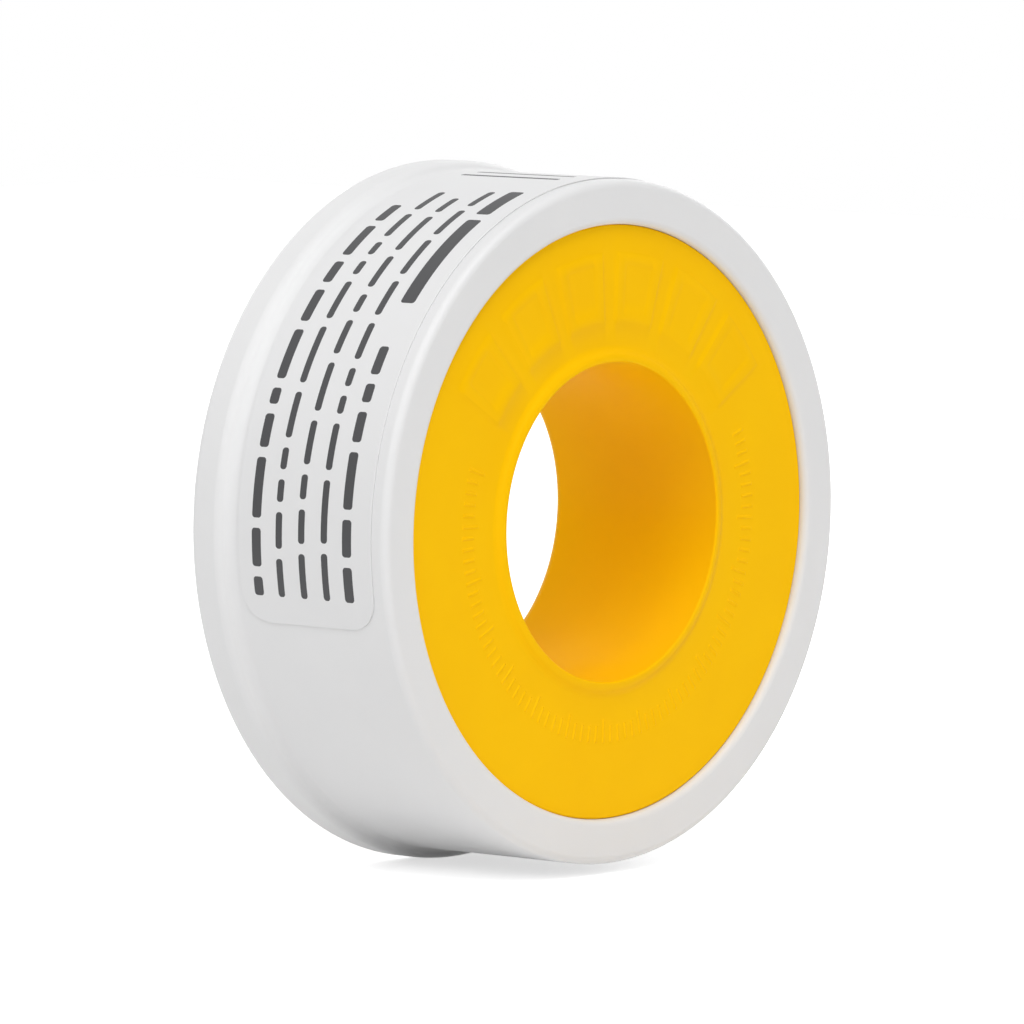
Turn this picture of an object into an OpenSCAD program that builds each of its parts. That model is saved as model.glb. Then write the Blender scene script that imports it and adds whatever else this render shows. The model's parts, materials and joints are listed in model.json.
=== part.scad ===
// Thread seal tape roll: a strip of film wound on a spool that turns inside a snap-together casing.
// The roll stands on its edge, with its axis along Y and the spool's flange facing -Y.
// The origin is on the axis, halfway along the width. Lengths are in millimetres.

/* [Tape] */
// Width of the film
tape_w = 12.7; // [9:0.1:19]
// Length of film on a full spool
tape_len = 7000; // [3000:100:10000]
// Thickness of the film
tape_t = 0.065; // [0.05:0.005:0.1]
// Side play of the winding at each end of the spool
tape_play = 0.1; // [0.05:0.05:0.4]
// How far the film's free end stands off the winding
tape_end_lift = 0.6; // [0.2:0.1:1]

/* [Spool] */
// Radius of the bore through the hub
bore_r = 11.2; // [8:0.1:12]
// Wall of the hub tube
hub_wall = 1.2; // [1:0.1:2]
// Thickness of the front flange
flange_t = 1.2; // [0.9:0.1:2]
// Depth of the flange's face below the casing's lip
flange_recess = 0.55; // [0.4:0.05:1]
// Round on the flange's outer edge
flange_edge_r = 0.2; // [0.1:0.05:0.8]
// Width of the raised ring round the bore's mouth
mouth_ring_w = 1; // [0.8:0.1:2.5]
// Height of that ring over the flange, and the round on its outer edge
mouth_ring_h = 0.35; // [0.1:0.05:0.4]
// Round on the bore's front mouth
mouth_edge_r = 0.2; // [0.1:0.05:0.4]
// Round on the bore's back end
hub_end_r = 0.9; // [0.3:0.05:0.95]
// Depth of the hub's end below the cover's outer face
hub_end_drop = 0.2; // [0:0.05:0.25]
// Height of the snap bead round the hub's end
snap_h = 0.2; // [0.1:0.05:0.25]
// Radius of the snap bead's section
snap_r = 0.3; // [0.25:0.05:0.35]

/* [Casing] */
// Radius of the barrel
casing_r = 24; // [22:0.1:32]
// Wall of the barrel
casing_wall = 1.3; // [0.9:0.1:1.8]
// Width of the flat lip round the front opening, from the barrel's outside
lip_w = 3.15; // [2.4:0.05:3.6]
// Thickness of the lip
lip_t = 1.5; // [1:0.1:2]
// Round on the front edge
front_edge_r = 0.6; // [0.4:0.1:1.2]
// Round on the lip's inner edge
lip_edge_r = 0.5; // [0.1:0.05:0.6]

/* [Back rim] */
// Height of the rim over the barrel
rim_h = 0.75; // [0.4:0.05:1]
// Length of the smooth rise from the barrel to the rim
rim_ramp = 1.6; // [1.2:0.1:2]
// Length of the rim's level land
rim_land = 1.5; // [0.6:0.1:2]
// Round on the back edge
rim_edge_r = 0.7; // [0.4:0.1:1.2]

/* [Back cover] */
// Thickness of the cover's disc
cover_t = 1.2; // [1:0.1:1.8]
// Depth of the cover's disc below the back of the casing
cover_recess = 1.8; // [1.2:0.1:2.6]
// Width of the cover's own rim
cover_rim_w = 1; // [0.8:0.1:1.6]
// Depth of the cover's rim below the back of the casing
cover_rim_drop = 0.35; // [0.2:0.05:0.6]
// Round on the cover rim's two edges
cover_edge_r = 0.3; // [0.1:0.05:0.35]
// Width of the shoulder in the casing that the cover seats on
seat_w = 0.6; // [0.4:0.05:0.8]

/* [Label] */
// Thickness of the sticker
label_t = 0.1; // [0.05:0.01:0.2]
// Bare barrel between the front edge's round and the sticker
label_front_margin = 0.7; // [0.1:0.05:1.5]
// Bare barrel between the sticker and the foot of the rim's rise
label_back_margin = 0.2; // [0.1:0.05:1]
// Radius of the sticker's corners
label_corner_r = 2.4; // [1:0.1:4]
// Angle of the sticker's lower end below the horizontal, on the left
label_low_deg = 14.5; // [0:0.1:40]
// Angle that the sticker covers round the barrel
label_arc_deg = 158; // [90:1:200]

/* [Fits] */
// Radial gap between the flange and the lip
lip_gap = 0.06; // [0.05:0.01:0.4]
// Radial gap between the cover and the casing
cover_gap = 0.1; // [0.05:0.01:0.2]
// Radial running gap between the hub and the cover's hole
hub_gap = 0.06; // [0.03:0.01:0.1]
// Radial gap between one wound layer and what it lies on
winding_gap = 0.05; // [0.02:0.01:0.1]
// Thickness of the glue under the sticker
label_glue_t = 0.02; // [0.01:0.01:0.05]

/* [Hidden] */
$fn = 96;
// How far a cut runs past the face that it opens
overrun = 1;
hub_r = bore_r + hub_wall;
lip_r = casing_r - lip_w;
flange_r = lip_r - lip_gap;
chamber_r = casing_r - casing_wall;
rebate_r = chamber_r + seat_w;
cover_r = rebate_r - cover_gap;
rim_r = casing_r + rim_h;
// Places along the axis, counted from the casing's front face
flange_back = flange_recess + flange_t;
mouth_front = flange_recess - mouth_ring_h;
tape_front = flange_back + tape_play;
cover_front = tape_front + tape_w + tape_play;
cover_back = cover_front + cover_t;
casing_w = cover_back + cover_recess;
cover_rim_back = casing_w - cover_rim_drop;
hub_end = cover_back - hub_end_drop;
snap_at = cover_front + cover_t / 2;
rim_foot = casing_w - rim_edge_r - rim_land - rim_ramp;
rim_top = rim_foot + rim_ramp;
// The rise is two equal arcs, one hollow and one round, that meet halfway
ramp_arc_r = (rim_ramp * rim_ramp + rim_h * rim_h) / (4 * rim_h);
// The winding's end face holds the film's whole edge area
winding_r = sqrt(pow(hub_r + winding_gap, 2) + tape_len * tape_t / PI);
label_r = casing_r + label_glue_t;
label_front = front_edge_r + label_front_margin;
label_back = rim_foot - label_back_margin;
label_deg_per_mm = 180 / (PI * label_r);
label_steps = 48;
label_corner_steps = 6;
// The last turn stops short of closing, and its end lifts over its last stretch
turn_steps = 60;
turn_arc_deg = 340;
turn_lift_deg = 40;
turn_start_deg = 100;

// Lays a shape turned about Z, front face at zero, along the roll's own axis
module on_axis() {
    translate([0, -casing_w / 2, 0])
        rotate([-90, 0, 0])
            children();
}

// What a round of radius r takes off a square corner at zero with its solid towards +X and +Y
module corner_cut(r) {
    difference() {
        translate([-overrun, -overrun])
            square(r + overrun);
        translate([r, r])
            circle(r);
    }
}

// Outline of the rim over the barrel, with its smooth rise and its round back edge
module rim_outline() {
    difference() {
        translate([lip_r, rim_foot])
            square([casing_r + rim_h / 2 - lip_r, rim_ramp / 2]);
        translate([casing_r + ramp_arc_r, rim_foot])
            circle(ramp_arc_r);
    }
    intersection() {
        translate([lip_r, rim_foot + rim_ramp / 2])
            square([rim_r - lip_r, rim_ramp / 2]);
        union() {
            translate([rim_r - ramp_arc_r, rim_top])
                circle(ramp_arc_r);
            translate([lip_r, rim_foot])
                square([rim_r - ramp_arc_r - lip_r, rim_ramp]);
        }
    }
    difference() {
        translate([lip_r, rim_top])
            square([rim_r - lip_r, casing_w - rim_top]);
        translate([rim_r, casing_w])
            rotate(180)
                corner_cut(rim_edge_r);
    }
}

// Section of the casing: barrel, lip and rim, less the chamber and the cover's seat
module casing_section() {
    difference() {
        union() {
            translate([lip_r, 0])
                square([lip_w, rim_foot]);
            rim_outline();
        }
        translate([casing_r, 0])
            mirror([1, 0])
                corner_cut(front_edge_r);
        translate([lip_r, 0])
            corner_cut(lip_edge_r);
        translate([0, lip_t])
            square([chamber_r, casing_w]);
        translate([0, cover_front])
            square([rebate_r, casing_w]);
    }
}

module casing() {
    color("whitesmoke")
        on_axis()
            rotate_extrude()
                casing_section();
}

// Section of the cover: disc, rim and the groove that the hub's snap bead runs in
module cover_section() {
    difference() {
        union() {
            translate([hub_r + hub_gap, cover_front])
                square([cover_r - hub_r - hub_gap, cover_t]);
            translate([cover_r - cover_rim_w, cover_front])
                square([cover_rim_w, cover_rim_back - cover_front]);
        }
        translate([cover_r, cover_rim_back])
            rotate(180)
                corner_cut(cover_edge_r);
        translate([cover_r - cover_rim_w, cover_rim_back])
            mirror([0, 1])
                corner_cut(cover_edge_r);
        translate([hub_r + snap_h - snap_r, snap_at])
            circle(snap_r + hub_gap);
    }
}

module back_cover() {
    color("whitesmoke")
        on_axis()
            rotate_extrude()
                cover_section();
}

// Section of the spool: flange, round-edged mouth ring, hub and snap bead, with both ends of the bore rounded
module spool_section() {
    difference() {
        union() {
            translate([bore_r, flange_recess])
                square([flange_r - bore_r, flange_t]);
            translate([bore_r, mouth_front])
                square([mouth_ring_w, flange_back - mouth_front]);
            translate([bore_r, flange_recess])
                square([hub_wall, hub_end - flange_recess]);
            translate([hub_r + snap_h - snap_r, snap_at])
                circle(snap_r);
        }
        translate([flange_r, flange_recess])
            mirror([1, 0])
                corner_cut(flange_edge_r);
        translate([bore_r, mouth_front])
            corner_cut(mouth_edge_r);
        translate([bore_r + mouth_ring_w, mouth_front])
            mirror([1, 0])
                corner_cut(mouth_ring_h);
        translate([bore_r, hub_end])
            mirror([0, 1])
                corner_cut(hub_end_r);
    }
}

module spool() {
    color("gold")
        on_axis()
            rotate_extrude()
                spool_section();
}

// All the turns of film but the last, as one wound body
module tape_winding() {
    color("white")
        on_axis()
            translate([0, 0, tape_front])
                difference() {
                    cylinder(r = winding_r, h = tape_w);
                    translate([0, 0, -overrun])
                        cylinder(r = hub_r + winding_gap, h = tape_w + 2 * overrun);
                }
}

// Radius of the last turn's inner face at a share of its length: level, then lifting to its free end
function turn_lift(share) =
    let (from = 1 - turn_lift_deg / turn_arc_deg)
    share < from ? 0 : tape_end_lift * pow((share - from) / (1 - from), 2);

function turn_point(share, r) =
    let (a = turn_start_deg + share * turn_arc_deg, q = r + turn_lift(share))
    [q * cos(a), q * sin(a)];

// The last turn of film over the winding, with its free end
module tape_outer_turn() {
    inner_r = winding_r + winding_gap;
    inner_face = [for (i = [0 : turn_steps]) turn_point(i / turn_steps, inner_r)];
    outer_face = [for (i = [turn_steps : -1 : 0]) turn_point(i / turn_steps, inner_r + tape_t)];
    color("white")
        on_axis()
            translate([0, 0, tape_front])
                linear_extrude(tape_w)
                    polygon(concat(inner_face, outer_face));
}

// A station across the sticker: its angle from the lower end, and how far its two edges draw in
function label_corner_station(i) =
    let (a = 90 * i / label_corner_steps)
    [label_corner_r * (1 - cos(a)) * label_deg_per_mm, label_corner_r * (1 - sin(a))];

function label_stations() =
    let (low = [for (i = [0 : label_corner_steps]) label_corner_station(i)],
         from_deg = low[label_corner_steps][0],
         step_deg = (label_arc_deg - 2 * from_deg) / label_steps)
    concat(low,
           [for (i = [1 : label_steps - 1]) [from_deg + i * step_deg, 0]],
           [for (i = [label_corner_steps : -1 : 0]) [label_arc_deg - low[i][0], low[i][1]]]);

// The four corners of the sticker's section at a station, from its inner front edge round
function label_section(station) =
    let (a = 180 - label_low_deg + station[0], front = label_front + station[1], back = label_back - station[1])
    [for (q = [[label_r, front], [label_r + label_t, front], [label_r + label_t, back], [label_r, back]])
        [q[0] * cos(a), q[0] * sin(a), q[1]]];

// The sticker: one thin strip bent to the barrel's round, with round corners
module label() {
    stations = label_stations();
    last = 4 * (len(stations) - 1);
    sides = [for (i = [0 : 4 : last - 4], j = [0 : 3])
        let (k = (j + 1) % 4)
        each [[i + j, i + k, i + 4 + k], [i + j, i + 4 + k, i + 4 + j]]];
    ends = [[3, 2, 1], [3, 1, 0], [last, last + 1, last + 2], [last, last + 2, last + 3]];
    color("snow")
        on_axis()
            polyhedron([for (s = stations) each label_section(s)], concat(sides, ends));
}

casing();
back_cover();
spool();
tape_winding();
tape_outer_turn();
label();
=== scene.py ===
"""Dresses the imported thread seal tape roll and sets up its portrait.

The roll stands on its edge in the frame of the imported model: its axis lies along Y and the spool's flange
faces -Y. Every length is in metres. A turned piece is drawn as a half section, whose corners are places
(radius, along Y), and spun round the axis. Angles on the roll are seen from the flange's side, counted from
+X towards +Z.
"""

from __future__ import annotations

import json
import logging
import math
from dataclasses import asdict, dataclass, fields
from enum import Enum
from functools import reduce
from typing import Any, Callable, ClassVar, Iterable, Sequence

import bmesh
import bpy
from bpy.types import Material, Node, NodeSocket, NodeTree, Object
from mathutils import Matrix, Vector

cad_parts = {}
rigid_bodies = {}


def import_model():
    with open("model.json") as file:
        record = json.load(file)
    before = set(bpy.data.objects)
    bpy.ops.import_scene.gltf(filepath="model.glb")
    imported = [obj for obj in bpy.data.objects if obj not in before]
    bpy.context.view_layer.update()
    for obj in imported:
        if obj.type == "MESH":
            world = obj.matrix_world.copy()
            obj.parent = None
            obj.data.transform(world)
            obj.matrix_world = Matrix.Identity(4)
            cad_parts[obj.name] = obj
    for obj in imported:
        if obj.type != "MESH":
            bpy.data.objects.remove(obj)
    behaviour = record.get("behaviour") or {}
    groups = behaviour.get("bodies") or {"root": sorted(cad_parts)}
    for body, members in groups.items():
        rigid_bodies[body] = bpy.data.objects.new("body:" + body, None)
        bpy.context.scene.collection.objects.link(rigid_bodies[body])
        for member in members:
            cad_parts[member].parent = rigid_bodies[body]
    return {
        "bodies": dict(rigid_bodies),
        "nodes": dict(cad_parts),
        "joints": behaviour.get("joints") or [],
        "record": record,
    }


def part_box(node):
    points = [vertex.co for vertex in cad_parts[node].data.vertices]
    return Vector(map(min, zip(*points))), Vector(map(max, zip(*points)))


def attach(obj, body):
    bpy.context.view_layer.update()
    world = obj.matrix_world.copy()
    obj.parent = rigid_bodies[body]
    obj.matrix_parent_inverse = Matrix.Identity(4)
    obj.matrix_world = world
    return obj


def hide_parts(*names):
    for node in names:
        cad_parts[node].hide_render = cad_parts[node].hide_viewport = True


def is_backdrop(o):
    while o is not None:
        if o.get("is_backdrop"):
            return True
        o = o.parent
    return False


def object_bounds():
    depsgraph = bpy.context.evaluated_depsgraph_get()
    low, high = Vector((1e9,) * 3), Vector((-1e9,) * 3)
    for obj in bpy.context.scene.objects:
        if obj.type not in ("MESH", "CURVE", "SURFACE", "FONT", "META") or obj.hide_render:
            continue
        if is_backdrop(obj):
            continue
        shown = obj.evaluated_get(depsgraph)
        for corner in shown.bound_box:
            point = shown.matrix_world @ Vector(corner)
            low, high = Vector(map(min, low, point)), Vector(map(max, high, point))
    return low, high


LOG = logging.getLogger("tape_roll")

MM = 0.001
FULL_TURN = 2.0 * math.pi
ORIGIN = (0.0, 0.0, 0.0)
AXIS = (0.0, 1.0, 0.0)
WHITE = (1.0, 1.0, 1.0, 1.0)

Colour = tuple[float, float, float]
Frame = dict[str, Any]


class Body(Enum):
    """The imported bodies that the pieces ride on."""

    CASING = "casing"
    COVER = "cover"
    SPOOL = "spool"


class Slot(Enum):
    """The record's material slots."""

    CASING_PLASTIC = "casing_plastic"
    SPOOL_PLASTIC = "spool_plastic"
    FILM = "film"
    LABEL_STOCK = "label_stock"


@dataclass(frozen=True)
class Corner:
    """A corner of a half section.

    Attributes:
        radius: Distance from the roll's axis.
        along: Place along Y.
        ease: Length that the corner's round takes off each side of it, or zero for a sharp corner.
        facets: Straight steps in the round.
    """

    radius: float
    along: float
    ease: float = 0.0
    facets: int = 6

    def place(self) -> Vector:
        """Gives the corner's place in the plane that the section is drawn in."""
        return Vector((self.radius, self.along, 0.0))


def turn_angle(place: Vector) -> float:
    """Finds where a place lies round the roll.

    Args:
        place: A place in the roll's frame.

    Returns:
        Its angle in degrees, from 0 up to 360.
    """
    return math.degrees(math.atan2(place.z, place.x)) % 360.0


class Bench:
    """Hand moves that the pieces share: drawing, rounding, spinning, picking and finishing.

    Attributes:
        NEAR: Distance within which two places count as the same one.
        WELD: Distance within which doubled points merge.
        SLICE: Distance within which a slice keeps a point that lies on it.
        LEVEL: Least share of a normal along the axis, for a face that lies flat.
        SMOOTH_ANGLE: Largest angle between faces that shade as one surface.
        SHARP_ANGLE: Smallest angle between faces whose edge is rounded.
    """

    NEAR = 0.004 * MM
    WELD = 0.0005 * MM
    SLICE = 0.0004 * MM
    LEVEL = 0.99
    SMOOTH_ANGLE = math.radians(32.0)
    SHARP_ANGLE = math.radians(60.0)

    @staticmethod
    def clear() -> None:
        """Leaves edit mode and deselects everything."""
        if bpy.context.object is not None and bpy.context.object.mode != "OBJECT":
            bpy.ops.object.mode_set(mode="OBJECT")
        bpy.ops.object.select_all(action="DESELECT")

    @classmethod
    def hold(cls, piece: Object) -> None:
        """Leaves edit mode and selects one piece alone.

        Args:
            piece: The piece, in either mode.
        """
        cls.clear()
        piece.select_set(True)
        bpy.context.view_layer.objects.active = piece

    @staticmethod
    def name_active(name: str) -> Object:
        """Names the piece that was just added.

        Args:
            name: Name for the object and its mesh.

        Returns:
            The named object.
        """
        piece = bpy.context.active_object
        piece.name = name
        piece.data.name = name
        return piece

    @staticmethod
    def pick(piece: Object, kind: str, test: Callable[[Any], bool]) -> None:
        """Selects the points or the faces of a piece in edit mode that pass a test, and no others.

        Args:
            piece: The piece in edit mode.
            kind: VERT for points or FACE for faces.
            test: Says whether a point or a face is wanted.
        """
        bpy.ops.mesh.select_mode(type=kind)
        bpy.ops.mesh.select_all(action="DESELECT")
        mesh = bmesh.from_edit_mesh(piece.data)
        for part in mesh.verts if kind == "VERT" else mesh.faces:
            if test(part):
                part.select_set(True)
        mesh.select_flush_mode()
        bmesh.update_edit_mesh(piece.data)

    @classmethod
    def draw_section(cls, name: str, corners: Sequence[Corner]) -> Object:
        """Draws a closed half section by extruding a point from corner to corner, then rounds its corners.

        Args:
            name: Name for the piece.
            corners: The section's corners in order.

        Returns:
            The piece, left in edit mode as a closed outline.
        """

        def pick_at(spots: Sequence[Vector]) -> None:
            """Selects the outline's points at the given spots."""
            cls.pick(piece, "VERT", lambda point: min((point.co - spot).length for spot in spots) < cls.NEAR)

        cls.clear()
        bpy.ops.mesh.primitive_plane_add(size=MM)
        piece = cls.name_active(name)
        bpy.ops.object.mode_set(mode="EDIT")
        bpy.ops.mesh.merge(type="CENTER")
        bpy.ops.transform.translate(value=corners[0].place())
        for here, ahead in zip(corners, corners[1:]):
            step = ahead.place() - here.place()
            bpy.ops.mesh.extrude_vertices_move(TRANSFORM_OT_translate={"value": step})
        pick_at((corners[0].place(), corners[-1].place()))
        bpy.ops.mesh.edge_face_add()
        for ease, facets in sorted({(c.ease, c.facets) for c in corners if c.ease > 0.0}):
            pick_at([c.place() for c in corners if (c.ease, c.facets) == (ease, facets)])
            bpy.ops.mesh.bevel(offset=ease, affect="VERTICES", segments=facets, profile=0.5)
        return piece

    @classmethod
    def lathe(cls, name: str, corners: Sequence[Corner], steps: int) -> Object:
        """Draws a half section and spins it round the roll's axis.

        Args:
            name: Name for the piece.
            corners: The section's corners in order.
            steps: Steps in a full turn.

        Returns:
            The turned piece, left in edit mode.
        """
        piece = cls.draw_section(name, corners)
        bpy.ops.mesh.select_all(action="SELECT")
        bpy.ops.mesh.spin(steps=steps, angle=FULL_TURN, center=ORIGIN, axis=AXIS)
        cls.weld()
        return piece

    @classmethod
    def weld(cls) -> None:
        """Merges doubled points of the piece in edit mode and turns its faces outwards."""
        bpy.ops.mesh.select_all(action="SELECT")
        bpy.ops.mesh.remove_doubles(threshold=cls.WELD)
        bpy.ops.mesh.normals_make_consistent(inside=False)

    @classmethod
    def mend(cls, piece: Object) -> None:
        """Welds a piece and leaves it in object mode.

        Args:
            piece: The piece, in either mode.
        """
        cls.hold(piece)
        bpy.ops.object.mode_set(mode="EDIT")
        cls.weld()
        bpy.ops.object.mode_set(mode="OBJECT")

    @classmethod
    def apply(cls, piece: Object, kind: str, **settings: object) -> None:
        """Adds a modifier to a piece and applies it.

        Args:
            piece: The piece, in either mode.
            kind: Blender's name for the modifier type.
            **settings: The modifier's properties by name.
        """
        cls.hold(piece)
        modifier = piece.modifiers.new(kind.lower(), kind)
        for key, value in settings.items():
            setattr(modifier, key, value)
        bpy.ops.object.modifier_apply(modifier=modifier.name)

    @classmethod
    def cut(cls, piece: Object, tool: Object) -> None:
        """Cuts a tool's shape out of a piece, merges the crumbs and throws the tool away.

        Args:
            piece: The piece to cut.
            tool: A closed shape.
        """
        cls.apply(piece, "BOOLEAN", operation="DIFFERENCE", solver="EXACT", object=tool)
        bpy.data.objects.remove(tool, do_unlink=True)
        cls.mend(piece)

    @classmethod
    def finish(cls, piece: Object) -> None:
        """Smooths a finished piece, and weights its normals so that its flats stay flat.

        Args:
            piece: The piece, in either mode.
        """
        cls.hold(piece)
        bpy.ops.object.shade_smooth_by_angle(angle=cls.SMOOTH_ANGLE)
        cls.apply(piece, "WEIGHTED_NORMAL", keep_sharp=True)


class Wiring:
    """A node tree in hand, with short ways to build it.

    Attributes:
        tree: The tree.
    """

    def __init__(self, tree: NodeTree) -> None:
        """Takes a tree in hand.

        Args:
            tree: The tree.
        """
        self.tree = tree

    @classmethod
    def group(
        cls, name: str, takes: dict[str, object], gives: dict[str, str]
    ) -> tuple[Wiring, bpy.types.NodeOutputs, Node]:
        """Starts a shader node group with named sockets.

        Args:
            name: The group's name.
            takes: Default value by input name: a number, a colour of four or a vector of three.
            gives: Socket type by output name.

        Returns:
            The group's tree in hand, the sockets that bring its inputs and the node that takes its outputs.
        """
        tree = bpy.data.node_groups.new(name, "ShaderNodeTree")
        for label, value in takes.items():
            kind = "NodeSocketFloat"
            if isinstance(value, tuple):
                kind = "NodeSocketColor" if len(value) == 4 else "NodeSocketVector"
            socket = tree.interface.new_socket(name=label, in_out="INPUT", socket_type=kind)
            socket.default_value = value
        for label, kind in gives.items():
            tree.interface.new_socket(name=label, in_out="OUTPUT", socket_type=kind)
        return cls(tree), tree.nodes.new("NodeGroupInput").outputs, tree.nodes.new("NodeGroupOutput")

    def put(self, socket: NodeSocket, value: object) -> None:
        """Wires another socket into an input, or sets the input to a plain value.

        Args:
            socket: The input.
            value: The other socket or the value.
        """
        if isinstance(value, NodeSocket):
            self.tree.links.new(value, socket)
        else:
            socket.default_value = value

    def feed(self, node: Node, **values: object) -> Node:
        """Sets a node's properties and its inputs.

        Args:
            node: The node.
            **values: Properties by name, or inputs by socket name with spaces as underscores.

        Returns:
            The node.
        """
        for key, value in values.items():
            if hasattr(node, key):
                setattr(node, key, value)
            else:
                self.put(node.inputs[key.replace("_", " ")], value)
        return node

    def add(self, kind: str, **values: object) -> Node:
        """Adds a node and feeds it.

        Args:
            kind: Blender's name for the node type.
            **values: What to feed it.

        Returns:
            The new node.
        """
        return self.feed(self.tree.nodes.new(kind), **values)

    def place(self, group: NodeTree, **values: object) -> Node:
        """Adds a group and feeds it.

        Args:
            group: The group to place.
            **values: What to feed it.

        Returns:
            The group node.
        """
        return self.add("ShaderNodeGroup", node_tree=group, **values)

    def calc(self, operation: str, *terms: NodeSocket | float) -> NodeSocket:
        """Adds a Math node over sockets and plain numbers.

        Args:
            operation: Blender's name for the operation.
            *terms: The inputs in order.

        Returns:
            The result's socket.
        """
        node = self.add("ShaderNodeMath", operation=operation)
        for socket, term in zip(node.inputs, terms):
            self.put(socket, term)
        return node.outputs[0]


class SurfaceGroups:
    """The effects that several finishes share, each built once as a node group."""

    def __init__(self) -> None:
        """Builds every group."""
        self.grain = self._grain()
        self.scuffs = self._scuffs()
        self.tint = self._tint()
        self.print_row = self._print_row()

    @staticmethod
    def _grain() -> NodeTree:
        """Builds the skin of a moulding: fine spark grain over slow flow waves."""
        wires, takes, gives = Wiring.group(
            "Moulded grain",
            {"Vector": ORIGIN, "Grain scale": 2500.0, "Flow scale": 120.0, "Flow share": 0.5},
            {"Height": "NodeSocketFloat", "Mottle": "NodeSocketFloat"},
        )
        noise, where = "ShaderNodeTexNoise", takes["Vector"]
        spark = wires.add(noise, Vector=where, Scale=takes["Grain scale"], Detail=3.0, Roughness=0.55)
        flow = wires.add(noise, Vector=where, Scale=takes["Flow scale"], Detail=2.0, Distortion=0.6)
        waves = wires.calc("MULTIPLY", flow.outputs["Fac"], takes["Flow share"])
        height = wires.calc("ADD", spark.outputs["Fac"], waves)
        wires.feed(gives, Height=height, Mottle=flow.outputs["Fac"])
        return wires.tree

    @staticmethod
    def _scuffs() -> NodeTree:
        """Builds faint handling marks: short stretched scratches that break up in patches."""
        wires, takes, gives = Wiring.group(
            "Handling marks",
            {"Vector": ORIGIN, "Scale": 260.0, "Amount": 0.5},
            {"Mask": "NodeSocketFloat"},
        )
        noise, ramp, where = "ShaderNodeTexNoise", "ShaderNodeMapRange", takes["Vector"]
        lean = wires.add("ShaderNodeMapping", Vector=where, Rotation=(0.4, 0.9, 0.5), Scale=(1.0, 0.12, 1.0))
        streak = wires.add(noise, Vector=lean.outputs["Vector"], Scale=takes["Scale"], Detail=4.0, Roughness=0.7)
        patch = wires.add(noise, Vector=where, Scale=90.0, Detail=1.0)
        thin = wires.add(ramp, Value=streak.outputs["Fac"], From_Min=0.6, From_Max=0.74)
        spots = wires.add(ramp, Value=patch.outputs["Fac"], From_Min=0.48, From_Max=0.66)
        marks = wires.calc("MULTIPLY", thin.outputs["Result"], spots.outputs["Result"])
        wires.feed(gives, Mask=wires.calc("MULTIPLY", marks, takes["Amount"]))
        return wires.tree

    @staticmethod
    def _tint() -> NodeTree:
        """Builds a colour that wanders between a light and a deep tone of the same stuff."""
        wires, takes, gives = Wiring.group(
            "Wandering tint",
            {"Light": WHITE, "Deep": (0.8, 0.8, 0.8, 1.0), "Mottle": 0.5, "Mark": 0.0},
            {"Colour": "NodeSocketColor"},
        )
        spread = wires.add("ShaderNodeMapRange", Value=takes["Mottle"], From_Min=0.3, From_Max=0.7)
        share = wires.calc("MAXIMUM", spread.outputs["Result"], takes["Mark"])
        blend = wires.add("ShaderNodeMix", data_type="RGBA", Factor=share, A=takes["Light"], B=takes["Deep"])
        wires.feed(gives, Colour=blend.outputs["Result"])
        return wires.tree

    @staticmethod
    def _print_row() -> NodeTree:
        """Builds one row of plain print: a strip of the sheet, broken into bars with round corners."""
        sizes = ("Run", "Across", *(size.name.capitalize() for size in fields(PrintRow)))
        wires, takes, gives = Wiring.group("Printed row", dict.fromkeys(sizes, 0.0), {"Mask": "NodeSocketFloat"})
        calc = wires.calc
        run, corner, pitch, space = (takes[size] for size in ("Run", "Corner", "Pitch", "Space"))
        past, to_go = calc("SUBTRACT", run, takes["Start"]), calc("SUBTRACT", takes["End"], run)
        cells = wires.add(
            "ShaderNodeTexVoronoi",
            voronoi_dimensions="1D",
            feature="DISTANCE_TO_EDGE",
            W=calc("ADD", calc("DIVIDE", past, pitch), takes["Seed"]),
            Scale=1.0,
            Randomness=1.0,
        )
        to_cell_end = calc("MULTIPLY", cells.outputs["Distance"], pitch)
        to_bar_end = calc("SUBTRACT", to_cell_end, calc("MULTIPLY", space, 0.5))
        unbroken = calc("LESS_THAN", space, Bench.NEAR)
        inside = calc("MINIMUM", calc("ADD", to_bar_end, unbroken), calc("MINIMUM", past, to_go))
        off = calc("ABSOLUTE", calc("SUBTRACT", takes["Across"], takes["Middle"]))
        flat = calc("SUBTRACT", calc("MULTIPLY", takes["Height"], 0.5), corner)
        over = calc("MAXIMUM", calc("SUBTRACT", off, flat), 0.0)
        short = calc("MAXIMUM", calc("SUBTRACT", corner, inside), 0.0)
        away = calc("SQRT", calc("ADD", calc("MULTIPLY", over, over), calc("MULTIPLY", short, short)))
        wires.feed(gives, Mask=calc("LESS_THAN", away, corner))
        return wires.tree


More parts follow.
